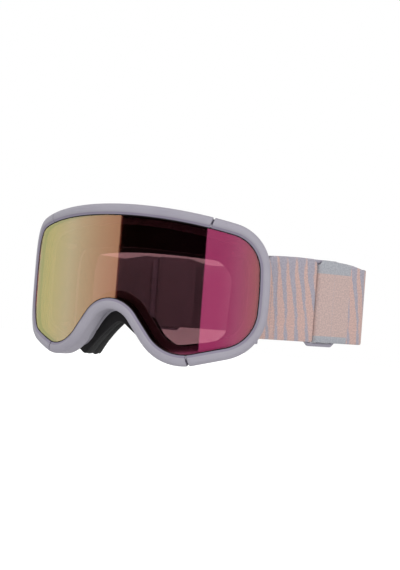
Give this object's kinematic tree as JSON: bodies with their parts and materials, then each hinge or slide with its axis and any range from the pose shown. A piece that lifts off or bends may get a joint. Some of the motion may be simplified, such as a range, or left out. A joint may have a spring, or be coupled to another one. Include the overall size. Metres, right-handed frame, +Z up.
{
  "type": "ski goggles",
  "caption": "Cylindrical-lens ski goggles: double lens in a moulded frame, layered face foam with fleece facing, and an adjustable elastic strap loop with slide adjusters.",
  "frame": {"origin": "on the plane of symmetry of the goggle, where the fleece meets the face, level with the middle height of the lens's own outline datum", "axes": "+Z up, -Y out through the lens, +Y into the face, +X towards the wearer's left temple"},
  "size_m": [0.1749, 0.1619, 0.0804],
  "materials": {
    "frame_tpu": "matte, fine spark-eroded grain, pale grey lavender",
    "mirror_lens": "rose and gold mirror coat over a dark tint",
    "inner_lens_clear": "clear sheet with an anti-fog coat",
    "spacer_foam": "matte closed-cell foam",
    "seal_adhesive": "matte",
    "face_foam": "open-cell polyurethane foam, matte black",
    "fleece": "brushed micro fleece",
    "vent_foam": "coarse open-cell filter foam",
    "anchor_steel": "drawn wire, satin",
    "strap_knit": "knitted elastic webbing, grey lavender with irregular peach stripes",
    "slider_nylon": "moulded nylon, satin, pale grey lavender",
    "grip_silicone": "printed silicone, satin"
  },
  "bodies": {
    "goggle_body": {"front_frame": "frame_tpu", "outer_lens": "mirror_lens", "inner_lens": "inner_lens_clear", "lens_spacer": "spacer_foam", "lens_seal": "seal_adhesive", "base_foam": "face_foam", "contour_foam": "face_foam", "fleece_facing": "fleece", "brow_vent_foam": "vent_foam", "chin_vent_foam_right": "vent_foam", "chin_vent_foam_left": "vent_foam", "nose_vent_foam_right": "vent_foam", "nose_vent_foam_left": "vent_foam", "anchor_bar_right": "anchor_steel", "anchor_bar_left": "anchor_steel"},
    "right_strap": {"side_strap_right": "strap_knit"},
    "right_slider": {"slider_right": "slider_nylon"},
    "left_strap": {"side_strap_left": "strap_knit"},
    "left_slider": {"slider_left": "slider_nylon"},
    "rear_strap": {"rear_strap": "strap_knit", "grip_print": "grip_silicone"}
  },
  "joints": [
    {"name": "right_strap_swing", "type": "hinge", "parent": "goggle_body", "child": "right_strap", "pos_m": [0.0618, 0.0117, 0], "axis": [0, 0, 1], "range_deg": [-12, 12], "deforming": ["side_strap_right", "side_strap_left", "rear_strap"]},
    {"name": "right_slider_slide", "type": "slide", "parent": "right_strap", "child": "right_slider", "axis": [0.5149, 0.8572, 0], "range_m": [-0.004, 0.006], "deforming": ["side_strap_right", "side_strap_left", "rear_strap"]},
    {"name": "rear_strap_swing", "type": "hinge", "parent": "right_slider", "child": "rear_strap", "pos_m": [0.08157, 0.04462, 0], "axis": [0, 0, 1], "range_deg": [-12, 12], "deforming": ["side_strap_right", "rear_strap"]},
    {"name": "left_strap_swing", "type": "hinge", "parent": "goggle_body", "child": "left_strap", "pos_m": [-0.0618, 0.0117, 0], "axis": [0, 0, 1], "range_deg": [-6, 6], "deforming": ["side_strap_left", "rear_strap"]},
    {"name": "left_slider_slide", "type": "slide", "parent": "left_strap", "child": "left_slider", "axis": [0.8606, 0.5092, 0], "range_m": [-0.004, 0.006], "deforming": ["side_strap_left", "rear_strap"]}
  ],
  "couplings": [
    {"joint": "rear_strap_swing", "follows": "right_strap_swing", "ratio": -0.8742},
    {"joint": "left_strap_swing", "follows": "right_strap_swing", "ratio": 0.4206},
    {"joint": "left_slider_slide", "follows": "right_slider_slide", "ratio": 0.88}
  ]
}
